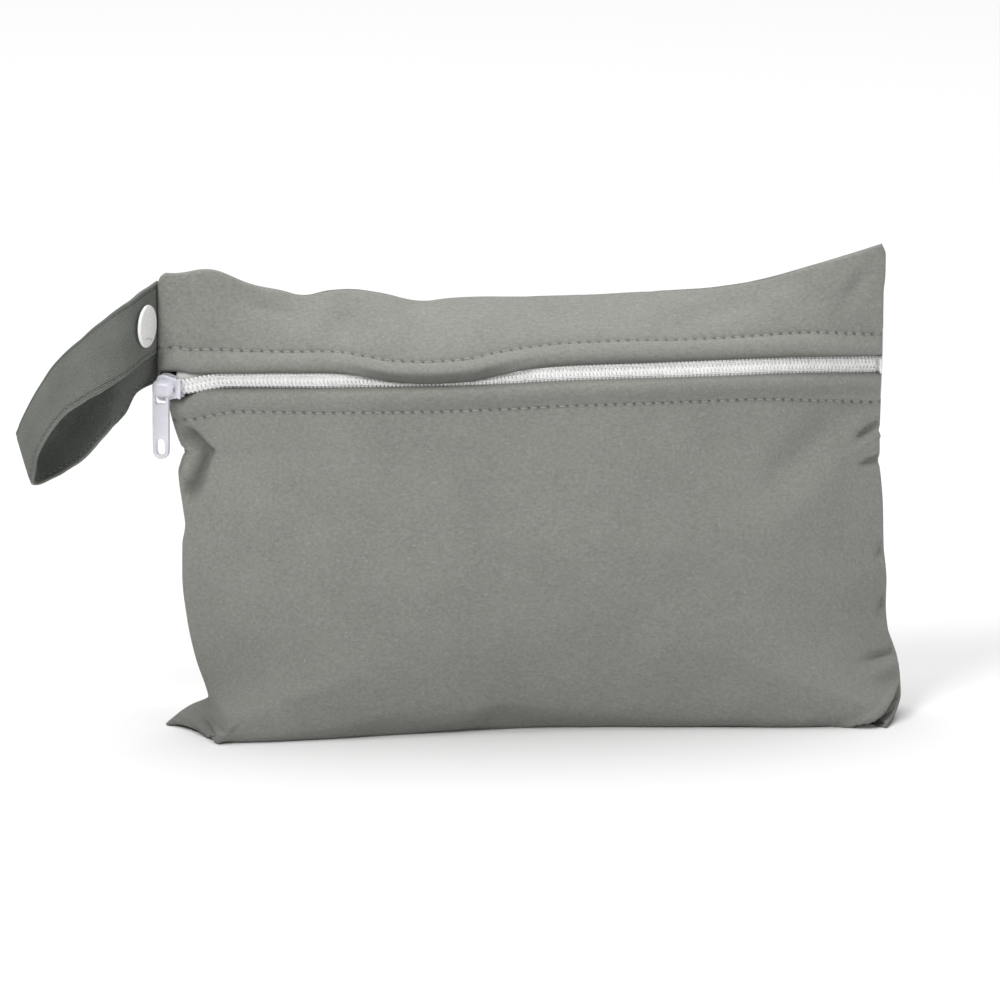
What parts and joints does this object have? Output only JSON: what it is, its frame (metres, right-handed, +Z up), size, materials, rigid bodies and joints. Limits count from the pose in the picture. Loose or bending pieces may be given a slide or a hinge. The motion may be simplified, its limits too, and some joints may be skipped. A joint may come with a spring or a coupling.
{
  "type": "wet bag",
  "caption": "Small zipped pouch of soft cloth, stuffed and standing on its flattened bottom, with a snapped strap loop at one side.",
  "frame": {"origin": "on the floor under the middle of the bag, on the flat underside of the back panel", "axes": "+Z up, -Y towards the zipped front, +X to the right of someone who looks at the front"},
  "size_m": [0.3145, 0.0646, 0.1687],
  "materials": {
    "cloth": "soft matt suede-like nap",
    "strap_band": "fine ribbed band with stitched edges",
    "zip_tape": "woven tape",
    "zip_coil": "nylon coil",
    "slider": "enamelled white",
    "snap": "moulded resin"
  },
  "bodies": {
    "bag": {"front_upper_panel": "cloth", "front_lower_panel": "cloth", "back_panel": "cloth", "zip_tape_upper": "zip_tape", "zip_tape_lower": "zip_tape", "zip_coil_upper": "zip_coil", "zip_coil_lower": "zip_coil", "slider_body": "slider", "strap": "strap_band", "snap_cap": "snap", "snap_fastener": "snap", "snap_cap_back": "snap"},
    "pull": {"pull_tab": "slider"}
  },
  "joints": [
    {"name": "pull_swing", "type": "hinge", "parent": "bag", "child": "pull", "pos_m": [-0.12888, -0.0066, 0.12366], "axis": [-0.9063, 0.4226, 0], "range_deg": [0, 145]}
  ]
}
